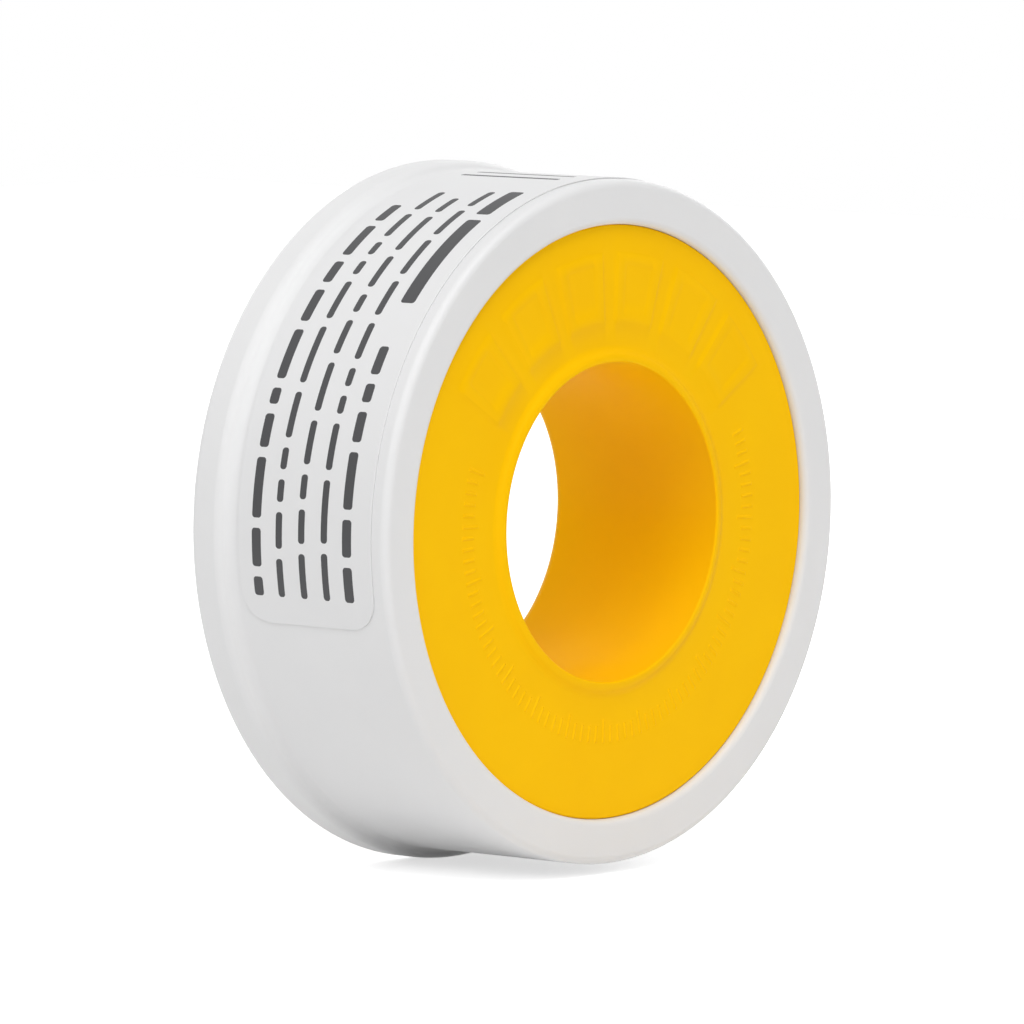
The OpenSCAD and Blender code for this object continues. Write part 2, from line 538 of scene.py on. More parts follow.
@dataclass(frozen=True)
class Finish:
    """What every finish has: a name, a light and a deep tone, a gloss and a fine grain.

    Attributes:
        name: Name for the material.
        light: The usual colour of the plastic, film or paper.
        deep: The tone that it wanders to.
        roughness: Roughness where the surface is clean.
        grain_scale: Scale of the fine grain.
        flow_scale: Scale of the slow waves under it.
        relief: Depth of the surface's fine relief.
    """

    name: str
    light: Colour
    deep: Colour
    roughness: float
    grain_scale: float = 2600.0
    flow_scale: float = 130.0
    relief: float = 0.006 * MM

    def start(self, groups: SurfaceGroups) -> tuple[Material, Wiring, NodeSocket, Node]:
        """Starts the material.

        Args:
            groups: The shared effects.

        Returns:
            The material, its tree in hand, the socket of the place on the piece, and the grain.
        """
        material = bpy.data.materials.new(self.name)
        material.use_nodes = True
        wires = Wiring(material.node_tree)
        where = wires.add("ShaderNodeTexCoord").outputs["Object"]
        scales = {"Grain_scale": self.grain_scale, "Flow_scale": self.flow_scale}
        return material, wires, where, wires.place(groups.grain, Vector=where, **scales)

    def tint(
        self, wires: Wiring, groups: SurfaceGroups, mottle: NodeSocket, mark: NodeSocket | float = 0.0
    ) -> NodeSocket:
        """Adds the colour that wanders between the two tones.

        Args:
            wires: The material's tree.
            groups: The shared effects.
            mottle: What the colour follows.
            mark: Mask of the places that show the deep tone in any case.

        Returns:
            The colour's socket.
        """
        tones = {"Light": (*self.light, 1.0), "Deep": (*self.deep, 1.0)}
        return wires.place(groups.tint, **tones, Mottle=mottle, Mark=mark).outputs["Colour"]

    def dress(
        self, wires: Wiring, colour: NodeSocket, height: NodeSocket, mask: NodeSocket, low: float, high: float
    ) -> Node:
        """Wires a colour, a relief and a roughness into the shader.

        Args:
            wires: The material's tree.
            colour: The colour.
            height: Height of the relief.
            mask: What the roughness follows.
            low: Roughness where the mask is 0.
            high: Roughness where the mask is 1.

        Returns:
            The Principled node.
        """
        gloss = wires.add("ShaderNodeMapRange", Value=mask, To_Min=low, To_Max=high).outputs["Result"]
        bump = wires.add("ShaderNodeBump", Strength=1.0, Distance=self.relief, Height=height).outputs["Normal"]
        shader = wires.tree.nodes["Principled BSDF"]
        return wires.feed(shader, Base_Color=colour, Roughness=gloss, Normal=bump)


@dataclass(frozen=True)
class MouldedPlastic(Finish):
    """Injection-moulded plastic with a fine grain, slow flow marks and a few scuffs.

    Attributes:
        scuffing: Strength of the handling marks.
        scuffed_roughness: Roughness at a mark.
        specular: Strength of the surface's mirror light, where 0.5 is plain plastic.
    """

    scuffing: float = 0.35
    scuffed_roughness: float = 0.62
    specular: float = 0.5

    def make(self, groups: SurfaceGroups) -> Material:
        """Builds the material.

        Args:
            groups: The shared effects.

        Returns:
            The material.
        """
        material, wires, where, grain = self.start(groups)
        scuffs = wires.place(groups.scuffs, Vector=where, Amount=self.scuffing).outputs["Mask"]
        colour = self.tint(wires, groups, grain.outputs["Mottle"], scuffs)
        gloss = (self.roughness, self.scuffed_roughness)
        shader = self.dress(wires, colour, grain.outputs["Height"], scuffs, *gloss)
        wires.feed(shader, Specular_IOR_Level=self.specular)
        return material


@dataclass(frozen=True)
class SealFilm(Finish):
    """Soft unsintered film: matt, waxy, with streaks along its length.

    Attributes:
        streak_scale: Scale of the streaks across the film.
        streak_stretch: Share of that scale that they have along the film.
        gloss_swing: How far the roughness wanders to either side.
    """

    grain_scale: float = 3200.0
    flow_scale: float = 240.0
    relief: float = 0.01 * MM
    streak_scale: float = 1500.0
    streak_stretch: float = 0.03
    gloss_swing: float = 0.06

    def make(self, groups: SurfaceGroups) -> Material:
        """Builds the material.

        Args:
            groups: The shared effects.

        Returns:
            The material.
        """
        material, wires, where, grain = self.start(groups)
        stretch = (self.streak_stretch, 1.0, self.streak_stretch)
        across = wires.add("ShaderNodeMapping", Vector=where, Scale=stretch).outputs["Vector"]
        fine = {"Scale": self.streak_scale, "Detail": 3.0, "Roughness": 0.6}
        streak = wires.add("ShaderNodeTexNoise", Vector=across, **fine).outputs["Fac"]
        colour = self.tint(wires, groups, streak)
        height = wires.calc("ADD", streak, grain.outputs["Height"])
        gloss = (self.roughness - self.gloss_swing, self.roughness + self.gloss_swing)
        self.dress(wires, colour, height, grain.outputs["Mottle"], *gloss)
        return material


@dataclass(frozen=True)
class PrintRow:
    """A row of print on the label: plain bars with round corners, or one unbroken bar.

    Attributes:
        middle: Distance of the row's middle line from the label's front edge.
        height: Height of the bars.
        start: Distance of the row's start from the label's lower end.
        end: Distance of the row's end from the label's lower end.
        corner: Radius of the bars' corners.
        pitch: Mean room for one bar and the space after it.
        space: Space between bars, or zero for one unbroken bar.
        seed: Which stretch of the uneven bars the row shows; it falls on a break, so that no bar is cut short.
    """

    middle: float
    height: float
    start: float
    end: float
    corner: float = 0.25 * MM
    pitch: float = 3.4 * MM
    space: float = 0.7 * MM
    seed: float = 0.0


@dataclass(frozen=True)
class LabelStock(Finish):
    """Coated white sticker with rows of plain bars in dark ink.

    Attributes:
        ink: Colour of the ink.
        ink_roughness: Roughness of the inked places.
        rows: The printed rows.
    """

    grain_scale: float = 1800.0
    flow_scale: float = 160.0
    relief: float = 0.002 * MM
    ink: Colour = (0.035, 0.035, 0.038)
    ink_roughness: float = 0.5
    rows: tuple[PrintRow, ...] = ()

    def make(self, groups: SurfaceGroups, length: float, width: float) -> Material:
        """Builds the material.

        Args:
            groups: The shared effects.
            length: The label's length round the barrel.
            width: The label's width.

        Returns:
            The material.
        """
        material, wires, _, grain = self.start(groups)
        spread = wires.add("ShaderNodeUVMap", uv_map=Label.UV_NAME)
        split = wires.add("ShaderNodeSeparateXYZ", Vector=spread.outputs["UV"])
        run = wires.calc("MULTIPLY", split.outputs["X"], length)
        across = wires.calc("MULTIPLY", split.outputs["Y"], width)
        masks = []
        for row in self.rows:
            sizes = {size.capitalize(): value for size, value in asdict(row).items()}
            masks.append(wires.place(groups.print_row, Run=run, Across=across, **sizes).outputs["Mask"])
        inked = reduce(lambda some, more: wires.calc("MAXIMUM", some, more), masks)
        paper = self.tint(wires, groups, grain.outputs["Mottle"])
        printed = wires.add("ShaderNodeMix", data_type="RGBA", Factor=inked, A=paper, B=(*self.ink, 1.0))
        gloss = (self.roughness, self.ink_roughness)
        self.dress(wires, printed.outputs["Result"], grain.outputs["Height"], inked, *gloss)
        return material


@dataclass
class Piece:
    """A dressed piece and what it stands for.

    Attributes:
        shape: The piece's object.
        body: The body that it rides on.
        slot: The record's slot for its finish.
        nodes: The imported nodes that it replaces.
    """

    shape: Object
    body: Body
    slot: Slot
    nodes: tuple[str, ...]

    def settle(self, material: Material) -> None:
        """Gives the piece its material and hands it to the frame.

        Args:
            material: The finished material.
        """
        self.shape.data.materials.clear()
        self.shape.data.materials.append(material)
        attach(self.shape, self.body.value)
        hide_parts(*self.nodes)
        LOG.info("%s: %d faces on %s", self.shape.name, len(self.shape.data.polygons), self.body.value)


@dataclass
class Casing:
    """The white ring: barrel, front lip and proud back rim.

    Attributes:
        rim_radius: Radius of the back rim.
        front: Place of the front face.
        back: Place of the back face.
        seat: Place of the shoulder that the cover seats on.
        rim_sweep: Share of the rim's rise that its two rounds take, just short of meeting.
    """

    rim_radius: float
    front: float
    back: float
    seat: float
    barrel_radius: float = 24.0 * MM
    opening_radius: float = 20.85 * MM
    wall: float = 1.3 * MM
    lip_thickness: float = 1.5 * MM
    seat_width: float = 0.6 * MM
    front_round: float = 0.6 * MM
    opening_round: float = 0.5 * MM
    rim_land: float = 1.5 * MM
    rim_rise: float = 1.6 * MM
    rim_sweep: float = 0.98
    rim_round: float = 0.7 * MM
    edge_break: float = 0.12 * MM
    steps: int = 288

    @classmethod
    def from_frame(cls) -> Casing:
        """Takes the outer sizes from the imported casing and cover."""
        low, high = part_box("casing")
        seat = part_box("back_cover")[0].y
        return cls(rim_radius=high.x, front=low.y, back=high.y, seat=seat)

    def corners(self) -> list[Corner]:
        """Lists the corners of the half section, from the lip's inner edge round."""
        chamber = self.barrel_radius - self.wall
        rebate = chamber + self.seat_width
        top = self.back - self.rim_round - self.rim_land
        foot = top - self.rim_rise
        height = self.rim_radius - self.barrel_radius
        sweep = 2.0 * math.atan2(height, self.rim_rise)
        arc = self.rim_rise / (2.0 * math.sin(sweep))
        reach = arc * math.tan(sweep / 2.0)
        ease = self.rim_sweep * reach
        return [
            Corner(self.opening_radius, self.front, self.opening_round, 10),
            Corner(self.barrel_radius, self.front, self.front_round, 12),
            Corner(self.barrel_radius, foot + reach, ease, 8),
            Corner(self.rim_radius, top - reach, ease, 8),
            Corner(self.rim_radius, self.back, self.rim_round, 12),
            Corner(rebate, self.back, self.edge_break, 3),
            Corner(rebate, self.seat),
            Corner(chamber, self.seat, self.edge_break, 3),
            Corner(chamber, self.front + self.lip_thickness, 2.0 * self.edge_break, 4),
            Corner(self.opening_radius, self.front + self.lip_thickness, self.edge_break, 3),
        ]

    def build(self) -> Piece:
        """Models the casing."""
        shape = Bench.lathe("casing_ring", self.corners(), self.steps)
        Bench.finish(shape)
        return Piece(shape, Body.CASING, Slot.CASING_PLASTIC, ("casing",))


@dataclass
class BackCover:
    """The white disc that closes the casing's back, with its own rim and the hub's hole.

    Attributes:
        radius: Radius of the disc.
        front: Place of the disc's inner face.
        rim_back: Place of the rim's outer face.
    """

    radius: float
    front: float
    rim_back: float
    hole_radius: float = 12.46 * MM
    disc_thickness: float = 1.2 * MM
    rim_width: float = 1.0 * MM
    rim_round: float = 0.3 * MM
    root_round: float = 0.5 * MM
    groove_depth: float = 0.2 * MM
    groove_half: float = 0.32 * MM
    collar_width: float = 1.6 * MM
    collar_height: float = 0.25 * MM
    step_radius: float = 19.2 * MM
    step_depth: float = 0.2 * MM
    edge_break: float = 0.1 * MM
    mark_radius: float = 1.25 * MM
    mark_depth: float = 0.12 * MM
    mark_ring: float = 16.6 * MM
    mark_facets: int = 48
    mark_count: int = 3
    steps: int = 288

    @classmethod
    def from_frame(cls) -> BackCover:
        """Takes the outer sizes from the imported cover."""
        low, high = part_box("back_cover")
        return cls(radius=high.x, front=low.y, rim_back=high.y)

    def corners(self) -> list[Corner]:
        """Lists the corners of the half section, from the hole's inner edge round."""
        back = self.front + self.disc_thickness
        inner = self.radius - self.rim_width
        middle = self.front + self.disc_thickness / 2.0
        collar = self.hole_radius + self.collar_width
        sunk = back - self.step_depth
        return [
            Corner(self.hole_radius, self.front, self.edge_break, 3),
            Corner(self.radius, self.front, self.edge_break, 3),
            Corner(self.radius, self.rim_back, self.rim_round),
            Corner(inner, self.rim_back, self.rim_round),
            Corner(inner, back, self.root_round),
            Corner(self.step_radius, back, self.edge_break, 3),
            Corner(self.step_radius - self.step_depth, sunk, self.edge_break, 3),
            Corner(collar, sunk, self.edge_break, 3),
            Corner(collar - self.collar_height, back, self.edge_break, 3),
            Corner(self.hole_radius, back, 2.0 * self.edge_break, 4),
            Corner(self.hole_radius, middle + self.groove_half),
            Corner(self.hole_radius + self.groove_depth, middle, self.groove_half / 2.0, 4),
            Corner(self.hole_radius, middle - self.groove_half),
        ]

    def pin_marks(self) -> Object:
        """Makes the tool that sinks the round marks left by the mould's pins.

        Returns:
            The marks' discs as one object.
        """
        face = self.front + self.disc_thickness - self.step_depth
        Bench.clear()
        bpy.ops.mesh.primitive_cylinder_add(
            vertices=self.mark_facets,
            radius=self.mark_radius,
            depth=2.0 * self.mark_depth,
            location=(self.mark_ring, face, 0.0),
            rotation=(math.pi / 2.0, 0.0, 0.0),
        )
        tool = Bench.name_active("pin_marks")
        bpy.ops.object.transform_apply(location=True, rotation=True, scale=True)
        bpy.ops.object.mode_set(mode="EDIT")
        bpy.ops.mesh.select_all(action="SELECT")
        bpy.ops.mesh.spin(steps=self.mark_count, dupli=True, angle=FULL_TURN, center=ORIGIN, axis=AXIS)
        Bench.mend(tool)
        return tool

    def build(self) -> Piece:
        """Models the cover."""
        shape = Bench.lathe("cover_disc", self.corners(), self.steps)
        Bench.cut(shape, self.pin_marks())
        Bench.finish(shape)
        return Piece(shape, Body.COVER, Slot.CASING_PLASTIC, ("back_cover",))


@dataclass
class Spool:
    """The yellow moulding: flange with low relief, mouth ring, hub and snap bead.

    Attributes:
        flange_radius: Radius of the flange.
        mouth: Place of the mouth ring's face.
        end: Place of the hub's back end.
        bore_radius: Radius of the bore.
        flange_growth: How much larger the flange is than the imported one, to close the dark slit round it.
    """

    flange_radius: float
    mouth: float
    end: float
    bore_radius: float
    hub_radius: float = 12.4 * MM
    flange_growth: float = 0.045 * MM
    ring_width: float = 0.72 * MM
    ring_height: float = 0.35 * MM
    ring_slope: float = 0.5 * MM
    ring_round: float = 0.25 * MM
    flange_thickness: float = 1.2 * MM
    flange_round: float = 0.15 * MM
    mouth_round: float = 0.14 * MM
    end_round: float = 0.9 * MM
    bead_height: float = 0.2 * MM
    bead_half: float = 0.283 * MM
    bead_back: float = 0.4 * MM
    edge_break: float = 0.1 * MM
    pad_slope: float = 0.16 * MM
    tick_slope: float = 0.07 * MM
    pad_inner: float = 13.8 * MM
    pad_outer: float = 19.0 * MM
    pad_frame: float = 0.9 * MM
    pad_frame_deg: float = 3.0
    pad_rise: float = 0.09 * MM
    pad_dish: float = 0.06 * MM
    pad_first_deg: float = 32.0
    pad_wide_deg: float = 16.0
    pad_pitch_deg: float = 20.0
    pad_count: int = 6
    tick_inner: float = 14.3 * MM
    tick_outer: float = 15.5 * MM
    tick_rise: float = 0.05 * MM
    tick_first_deg: int = 162
    tick_last_deg: int = 384
    tick_pitch_deg: int = 3
    long_tick_every: int = 5
    steps: int = 360

    @classmethod
    def from_frame(cls, frame: Frame) -> Spool:
        """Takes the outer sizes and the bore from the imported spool.

        Args:
            frame: What the frame's load gave.

        Returns:
            The spool.
        """
        low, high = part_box("spool")
        bore = next(m for m in frame["record"]["mounts"] if m["name"] == "bore")
        return cls(flange_radius=high.x, mouth=low.y, end=high.y, bore_radius=bore["dims"]["r_mm"] * MM)

    @property
    def face(self) -> float:
        """Place of the flange's face."""
        return self.mouth + self.ring_height

    def corners(self) -> list[Corner]:
        """Lists the corners of the half section, from the bore's mouth round."""
        ring = self.bore_radius + self.ring_width
        back = self.face + self.flange_thickness
        bead = self.end - self.bead_back
        edge = self.flange_radius + self.flange_growth
        dish = (self.pad_inner + self.pad_frame, self.pad_outer - self.pad_frame)
        relief = sorted((self.pad_inner, self.pad_outer, *dish, self.tick_inner, self.tick_outer))
        return [
            Corner(self.bore_radius, self.mouth, self.mouth_round, 8),
            Corner(ring - self.ring_slope / 2.0, self.mouth, self.ring_round, 8),
            Corner(ring + self.ring_slope / 2.0, self.face, self.ring_round, 8),
            *(Corner(radius, self.face) for radius in relief),
            Corner(edge, self.face, self.flange_round, 6),
            Corner(edge, back, self.edge_break, 3),
            Corner(self.hub_radius, back),
            Corner(self.hub_radius, bead - self.bead_half),
            Corner(self.hub_radius + self.bead_height, bead, self.bead_half / 2.0, 4),
            Corner(self.hub_radius, bead + self.bead_half),
            Corner(self.hub_radius, self.end, self.edge_break, 3),
            Corner(self.bore_radius, self.end, self.end_round, 10),
        ]

    def emboss(
        self,
        shape: Object,
        level: float,
        rise: float,
        slope: float,
        wanted: Callable[[float, float], bool],
    ) -> None:
        """Moves chosen faces of the flange, with a soft slope round each patch of them.

        Args:
            shape: The spool in edit mode.
            level: Place along Y of the faces to choose from.
            rise: How far they move out of the flange, or into it if it is negative.
            slope: Width of the slope.
            wanted: Says whether the face at a radius and an angle in degrees is chosen.
        """

        def chosen(face: bmesh.types.BMFace) -> bool:
            """Says whether a face lies at the level and is wanted."""
            middle = face.calc_center_median()
            level_face = face.normal.y < -Bench.LEVEL and abs(middle.y - level) < Bench.NEAR
            return level_face and wanted(math.hypot(middle.x, middle.z), turn_angle(middle))

        Bench.pick(shape, "FACE", chosen)
        bpy.ops.mesh.inset(thickness=slope, depth=rise, use_boundary=True, use_even_offset=True)

    def in_pad(self, radius: float, angle: float, inset: float, inset_deg: float) -> bool:
        """Says whether a place lies on one of the tablets, or within its frame.

        Args:
            radius: The place's distance from the axis.
            angle: Its angle in degrees.
            inset: How far inside the tablet's round edges it has to be.
            inset_deg: How far inside the tablet's straight edges it has to be, in degrees.

        Returns:
            True if it does.
        """
        past = angle - self.pad_first_deg
        within = inset_deg < past % self.pad_pitch_deg < self.pad_wide_deg - inset_deg
        in_row = 0.0 < past < self.pad_pitch_deg * self.pad_count
        return in_row and within and self.pad_inner + inset < radius < self.pad_outer - inset

    def raise_pads(self, shape: Object) -> None:
        """Raises the row of plain tablets on the flange's upper half, each with a shallow dish.

        Args:
            shape: The spool in edit mode.
        """
        slope, frame, frame_deg = self.pad_slope, self.pad_frame, self.pad_frame_deg
        top = self.face - self.pad_rise
        self.emboss(shape, self.face, self.pad_rise, slope, lambda r, a: self.in_pad(r, a, 0.0, 0.0))
        self.emboss(shape, top, -self.pad_dish, slope, lambda r, a: self.in_pad(r, a, frame, frame_deg))

    def raise_ticks(self, shape: Object) -> None:
        """Raises the row of short ticks on the flange's lower half, every few of them longer.

        Args:
            shape: The spool in edit mode.
        """
        marks = range(self.tick_first_deg, self.tick_last_deg, self.tick_pitch_deg)
        short = {degree % 360 for degree in marks}
        long = {degree % 360 for degree in marks[:: self.long_tick_every]}

        def in_tick(radius: float, angle: float) -> bool:
            """Says whether a place lies on a tick."""
            degree = math.floor(angle)
            inner = self.pad_inner if degree in long else self.tick_inner
            return degree in short and inner < radius < self.tick_outer

        self.emboss(shape, self.face, self.tick_rise, self.tick_slope, in_tick)

    def build(self) -> Piece:
        """Models the spool."""
        shape = Bench.lathe("spool_moulding", self.corners(), self.steps)
        self.raise_pads(shape)
        self.raise_ticks(shape)
        Bench.finish(shape)
        return Piece(shape, Body.SPOOL, Slot.SPOOL_PLASTIC, ("spool",))


@dataclass
class FilmRoll:
    """The film: one strip rolled up from the hub outwards, with a free end.

    Attributes:
        outer_radius: Radius that the last turn lies at.
        front: Place of the film's front edge.
        back: Place of the film's back edge.
        WAVES: The waves that the strip's edge wanders in: number in a turn of the roll, phase and share.
    """

    WAVES: ClassVar[tuple[tuple[float, float, float], ...]] = ((0.37, 0.0, 1.0), (1.31, 1.0, 0.6))

    outer_radius: float
    front: float
    back: float
    hub_gap: float = 0.1 * MM
    turns: int = 24
    turn_steps: int = 96
    width_steps: int = 6
    film_share: float = 0.86
    end_deg: float = -80.0
    lift: float = 0.6 * MM
    lift_deg: float = 40.0
    wander: float = 0.045 * MM
    bow: float = 0.25 * MM

    @classmethod
    def from_frame(cls) -> FilmRoll:
        """Takes the film's width and the winding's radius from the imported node."""
        low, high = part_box("tape_winding")
        return cls(outer_radius=high.x, front=low.y, back=high.y)

    @property
    def inner_radius(self) -> float:
        """Radius that the winding starts at."""
        return Spool.hub_radius + self.hub_gap

    @property
    def pitch(self) -> float:
        """Room that one turn takes."""
        return (self.outer_radius - self.inner_radius) / self.turns

    def rolled(self, share: float, across: float) -> Vector:
        """Finds where a point of the flat strip goes when the strip is rolled up.

        Args:
            share: Place along the strip, from 0 at the hub to 1 at the free end.
            across: Place across the strip, from -1 at its front edge to 1 at its back edge.

        Returns:
            The place on the roll.
        """
        to_go = (1.0 - share) * self.turns * FULL_TURN
        angle = math.radians(self.end_deg) + to_go
        rise = max(0.0, 1.0 - to_go / math.radians(self.lift_deg))
        radius = self.inner_radius + share * self.turns * self.pitch
        radius += self.lift * rise**2 + self.bow * rise * across**2
        waves = sum(part * math.sin(rate * to_go + phase) for rate, phase, part in self.WAVES)
        drift = self.wander * waves / sum(part for *_, part in self.WAVES)
        middle = (self.front + self.back) / 2.0
        half = (self.back - self.front) / 2.0 - self.wander
        return Vector((radius * math.cos(angle), middle + half * across + drift, radius * math.sin(angle)))

    def build(self) -> Piece:
        """Models the film as a flat strip and rolls it up."""
        Bench.clear()
        bpy.ops.mesh.primitive_grid_add(
            x_subdivisions=self.turns * self.turn_steps, y_subdivisions=self.width_steps, size=2.0
        )
        shape = Bench.name_active("film_strip")
        for point in shape.data.vertices:
            point.co = self.rolled((point.co.x + 1.0) / 2.0, point.co.y)
        Bench.mend(shape)
        Bench.apply(shape, "SOLIDIFY", thickness=self.pitch * self.film_share, offset=0.0)
        Bench.finish(shape)
        return Piece(shape, Body.SPOOL, Slot.FILM, ("tape_winding", "tape_outer_turn"))


@dataclass
class Label:
    """The sticker on the barrel: a thin sheet with round corners, wrapped from its lower end over the top.

    Attributes:
        front: Place of the sticker's front edge.
        back: Place of the sticker's back edge.
        UV_NAME: Name of the map that spreads the sticker flat for its print.
    """

    UV_NAME: ClassVar[str] = "print"

    front: float
    back: float
    radius: float = 24.003 * MM
    thickness: float = 0.1 * MM
    edge_round: float = 0.04 * MM
    edge_facets: int = 3
    corner: float = 2.4 * MM
    corner_facets: int = 10
    low_deg: float = 194.5
    arc_deg: float = 158.0
    bend_steps: int = 120

    @classmethod
    def from_frame(cls) -> Label:
        """Takes the sticker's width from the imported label."""
        low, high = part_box("label")
        return cls(front=low.y, back=high.y)

    @property
    def length(self) -> float:
        """Length of the sticker round the barrel."""
        return math.radians(self.arc_deg) * self.radius

    @property
    def width(self) -> float:
        """Width of the sticker."""
        return self.back - self.front

    def wrapped(self, flat: Vector) -> Vector:
        """Finds where a point of the flat sticker goes on the barrel.

        Args:
            flat: Place on the flat sticker, counted from the front corner of its lower end.

        Returns:
            The place on the barrel.
        """
        angle = math.radians(self.low_deg) - flat.x / self.radius
        return Vector((self.radius * math.cos(angle), self.front + flat.y, self.radius * math.sin(angle)))

    def cut_flat(self) -> Object:
        """Cuts the sticker out flat, with round corners and lines across it to bend at.

        Returns:
            The flat sheet, in object mode.
        """
        Bench.clear()
        bpy.ops.mesh.primitive_plane_add(size=1.0, location=(0.5, 0.5, 0.0))
        shape = Bench.name_active("label_sheet")
        bpy.ops.object.transform_apply(location=True, rotation=True, scale=True)
        bpy.ops.object.mode_set(mode="EDIT")
        bpy.ops.mesh.select_all(action="SELECT")
        bpy.ops.transform.resize(value=(self.length, self.width, 1.0), center_override=ORIGIN)
        bpy.ops.mesh.bevel(offset=self.corner, affect="VERTICES", segments=self.corner_facets, profile=0.5)
        for step in range(1, self.bend_steps):
            bpy.ops.mesh.select_all(action="SELECT")
            bpy.ops.mesh.bisect(
                plane_co=(self.length * step / self.bend_steps, 0.0, 0.0),
                plane_no=(1.0, 0.0, 0.0),
                threshold=Bench.SLICE,
            )
        bpy.ops.object.mode_set(mode="OBJECT")
        return shape

    def build(self) -> Piece:
        """Models the sticker flat, spreads its print map and wraps it on."""
        shape = self.cut_flat()
        sheet = shape.data
        spread = sheet.uv_layers.get(self.UV_NAME) or sheet.uv_layers.new(name=self.UV_NAME)
        for loop in sheet.loops:
            flat = sheet.vertices[loop.vertex_index].co
            spread.data[loop.index].uv = (flat.x / self.length, flat.y / self.width)
        for point in sheet.vertices:
            point.co = self.wrapped(point.co)
        outwards = sum(face.normal.dot(face.center * Vector((1.0, 0.0, 1.0))) for face in sheet.polygons)
        if outwards < 0.0:
            sheet.flip_normals()
        Bench.apply(shape, "SOLIDIFY", thickness=self.thickness, offset=1.0)
        Bench.apply(
            shape,
            "BEVEL",
            limit_method="ANGLE",
            angle_limit=Bench.SHARP_ANGLE,
            width=self.edge_round,
            segments=self.edge_facets,
        )
        Bench.mend(shape)
        Bench.finish(shape)
        return Piece(shape, Body.CASING, Slot.LABEL_STOCK, ("label",))


@dataclass(frozen=True)
class Softbox:
    """A large soft lamp that points at the roll.

    Attributes:
        name: Name for the lamp.
        place: Where it stands.
        size: Length of its sides.
        power: Power in watts.
    """

    name: str
    place: tuple[float, float, float]
    size: float
    power: float

    def hang(self) -> None:
        """Adds the lamp to the scene."""
        Bench.clear()
        bpy.ops.object.light_add(type="AREA", location=self.place)
        lamp = bpy.context.active_object
        lamp.name = self.name
        lamp.data.shape = "SQUARE"
        lamp.data.size = self.size
        lamp.data.energy = self.power
        lamp.rotation_euler = (-Vector(self.place)).to_track_quat("-Z", "Y").to_euler()


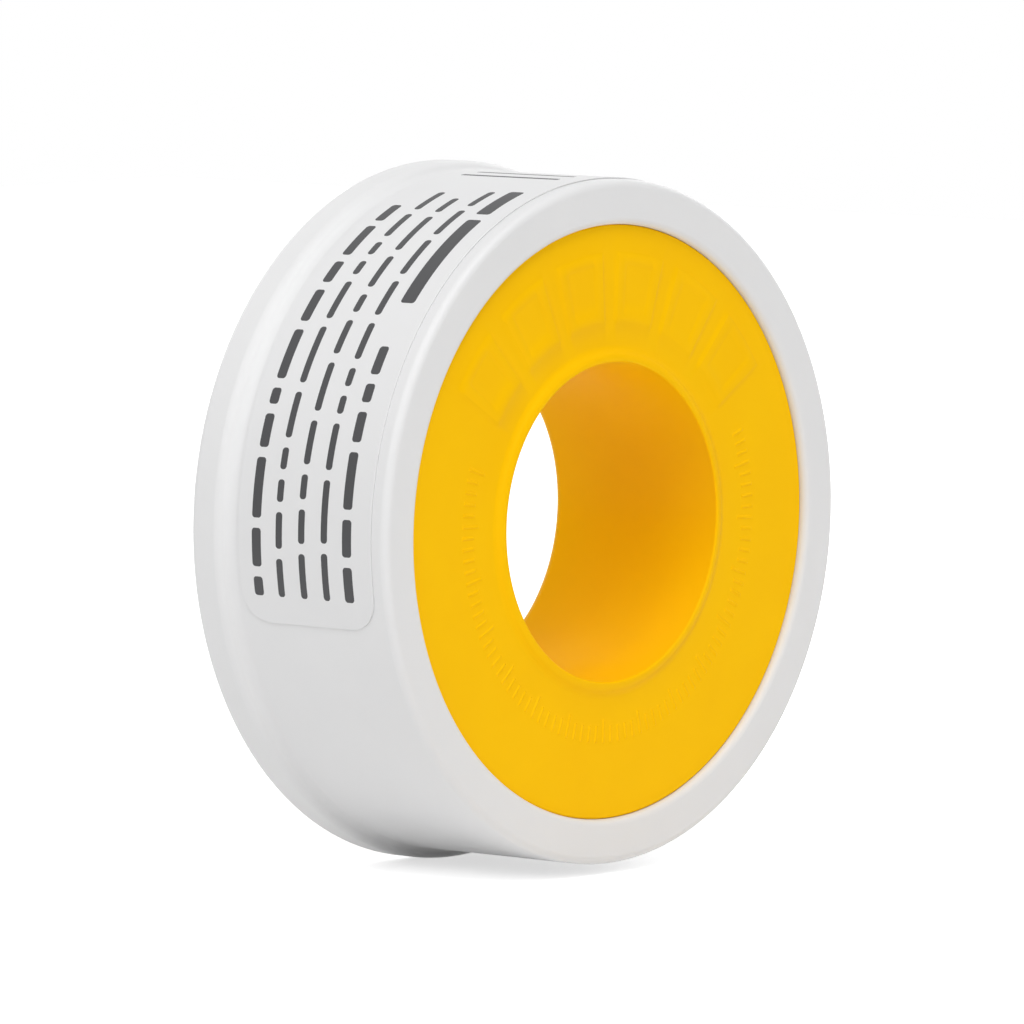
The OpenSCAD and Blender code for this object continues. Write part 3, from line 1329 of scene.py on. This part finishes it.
@dataclass
class Studio:
    """White table, white surround, soft lamps and the camera.

    Attributes:
        table: Height of the table's top.
        front: Place of the roll's front face.
        table_lift: Light that the table gives off where it is seen, so that it shows white.
        sky_light: Strength of the even light from all round.
        face_middle_px: Place of the roll's front face, its middle, in the picture.
    """

    table: float
    front: float
    table_size: float = 1.2
    table_colour: Colour = (0.95, 0.95, 0.95)
    table_lift: float = 0.6
    sky_light: float = 0.225
    azimuth_deg: float = -48.64
    elevation_deg: float = 5.14
    lens: float = 362.22
    sensor: float = 36.0
    distance: float = 720.0 * MM
    nearest: float = 10.0 * MM
    picture_px: float = 1024.0
    face_middle_px: tuple[float, float] = (615.57, 522.56)
    lamps: tuple[Softbox, ...] = (
        Softbox("left_softbox", (-0.8, 0.1, 0.8), 0.9, 4.9),
        Softbox("high_left_softbox", (-0.6, -0.7, 1.0), 0.6, 4.6),
        Softbox("high_front_softbox", (0.0, -0.5, 1.2), 0.6, 5.0),
        Softbox("front_softbox", (-0.3, -1.1, 0.35), 0.8, 2.0),
        Softbox("back_softbox", (0.25, 1.1, 0.4), 0.7, 2.4),
        Softbox("right_softbox", (0.9, 0.25, 0.25), 0.6, 2.0),
    )

    @staticmethod
    def seen_directly(wires: Wiring) -> NodeSocket:
        """Makes a mask that is 1 for what the camera, a reflection or a clear piece sees, and 0 for other light.

        Args:
            wires: The tree to add to.

        Returns:
            The mask's socket.
        """
        rays = wires.add("ShaderNodeLightPath").outputs
        mirror = wires.calc("MAXIMUM", rays["Is Glossy Ray"], rays["Is Transmission Ray"])
        return wires.calc("MAXIMUM", rays["Is Camera Ray"], mirror)

    def lay_table(self) -> None:
        """Lays the table that the roll stands on; it keeps the roll's shadow and shows white beyond it."""
        Bench.clear()
        bpy.ops.mesh.primitive_plane_add(size=self.table_size, location=(0.0, 0.0, self.table))
        top = Bench.name_active("table_top")
        material = bpy.data.materials.new("white_table")
        material.use_nodes = True
        wires = Wiring(material.node_tree)
        wires.tree.nodes.clear()
        seen = wires.calc("MULTIPLY", self.seen_directly(wires), self.table_lift)
        matt = wires.add("ShaderNodeBsdfDiffuse", Color=(*self.table_colour, 1.0))
        lift = wires.add("ShaderNodeEmission", Color=WHITE, Strength=seen)
        both = wires.add("ShaderNodeAddShader")
        wires.put(both.inputs[0], matt.outputs["BSDF"])
        wires.put(both.inputs[1], lift.outputs["Emission"])
        wires.add("ShaderNodeOutputMaterial", Surface=both.outputs["Shader"])
        top.data.materials.append(material)
        top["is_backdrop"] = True

    def paint_surround(self) -> None:
        """Makes the world white where it is seen, and an even soft light where it isn't."""
        world = bpy.data.worlds.new("white_surround")
        bpy.context.scene.world = world
        world.use_nodes = True
        wires = Wiring(world.node_tree)
        seen = self.seen_directly(wires)
        strength = wires.add("ShaderNodeMapRange", Value=seen, To_Min=self.sky_light, To_Max=1.0)
        wires.feed(wires.tree.nodes["Background"], Color=WHITE, Strength=strength.outputs["Result"])

    def set_camera(self) -> None:
        """Stands the camera so that the middle of the roll's front face falls on its place in the picture."""
        turn, tilt = math.radians(self.azimuth_deg), math.radians(self.elevation_deg)
        back = Vector((math.sin(turn) * math.cos(tilt), -math.cos(turn) * math.cos(tilt), math.sin(tilt)))
        right = Vector((0.0, 0.0, 1.0)).cross(back).normalized()
        above = back.cross(right)
        focal_px = self.lens / self.sensor * self.picture_px
        across, down = ((px - self.picture_px / 2.0) / focal_px * self.distance for px in self.face_middle_px)
        place = Vector((0.0, self.front, 0.0)) + back * self.distance - right * across + above * down
        Bench.clear()
        bpy.ops.object.camera_add(location=place)
        camera = bpy.context.active_object
        camera.name = "portrait_camera"
        camera.rotation_euler = (-back).to_track_quat("-Z", "Y").to_euler()
        camera.data.lens = self.lens
        camera.data.sensor_width = self.sensor
        camera.data.clip_start = self.nearest
        bpy.context.scene.camera = camera

    def set_up(self) -> None:
        """Sets up the whole studio."""
        bpy.context.scene.view_settings.view_transform = "Standard"
        self.lay_table()
        self.paint_surround()
        for lamp in self.lamps:
            lamp.hang()
        self.set_camera()


def label_print() -> tuple[PrintRow, ...]:
    """Lays out the label's print from two tables in millimetres.

    Returns:
        The rows of bars at the lower end and past the top, then the bold heading and the two thin rules.
    """
    # Middle, height, start and end of each row, and the stretch of uneven bars that it shows.
    broken = (
        (2.2, 0.85, 1.6, 20.44, 105.077),
        (4.3, 0.6, 1.6, 37.5, 154.611),
        (6.4, 0.6, 1.6, 36.0, 48.976),
        (8.5, 0.6, 1.6, 36.97, 151.359),
        (10.6, 0.85, 1.6, 34.45, 59.094),
        (2.6, 0.6, 46.5, 63.55, 54.079),
        (5.1, 0.6, 46.5, 59.98, 193.054),
        (7.6, 0.6, 46.5, 62.74, 3.339),
        (10.1, 0.6, 46.5, 57.8, 146.926),
    )
    # Middle, height, start and end of each unbroken bar, and the radius of its corners.
    unbroken = (
        (2.2, 1.3, 23.7, 32.6, 0.25),
        (2.2, 1.3, 33.4, 37.4, 0.25),
        (6.4, 9.0, 41.2, 41.65, 0.1),
        (6.4, 9.0, 42.9, 43.35, 0.1),
    )
    rows = [PrintRow(*(size * MM for size in sizes), seed=seed) for *sizes, seed in broken]
    rows += [PrintRow(*(size * MM for size in sizes), space=0.0) for sizes in unbroken]
    return tuple(rows)


def main() -> None:
    """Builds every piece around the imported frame, dresses it and sets up the studio."""
    logging.basicConfig(level=logging.INFO, format="%(name)s: %(message)s")
    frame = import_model()
    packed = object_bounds()

    groups = SurfaceGroups()
    white = MouldedPlastic("white_casing", (0.742, 0.742, 0.745), (0.73, 0.73, 0.733), 0.42, specular=0.3)
    yellow = MouldedPlastic("yellow_spool", (0.97, 0.545, 0.001), (0.955, 0.525, 0.001), 0.42, specular=0.04)
    film = SealFilm("seal_film", (0.86, 0.86, 0.85), (0.8, 0.8, 0.79), 0.5)
    paper, shade = (0.724, 0.724, 0.728), (0.714, 0.714, 0.718)
    stock = LabelStock("label_paper", paper, shade, 0.55, rows=label_print())

    casing, label = Casing.from_frame(), Label.from_frame()
    white_plastic = white.make(groups)
    casing.build().settle(white_plastic)
    BackCover.from_frame().build().settle(white_plastic)
    Spool.from_frame(frame).build().settle(yellow.make(groups))
    FilmRoll.from_frame().build().settle(film.make(groups))
    label.build().settle(stock.make(groups, label.length, label.width))

    Studio(table=packed[0].z, front=casing.front).set_up()


if __name__ == "__main__":
    main()
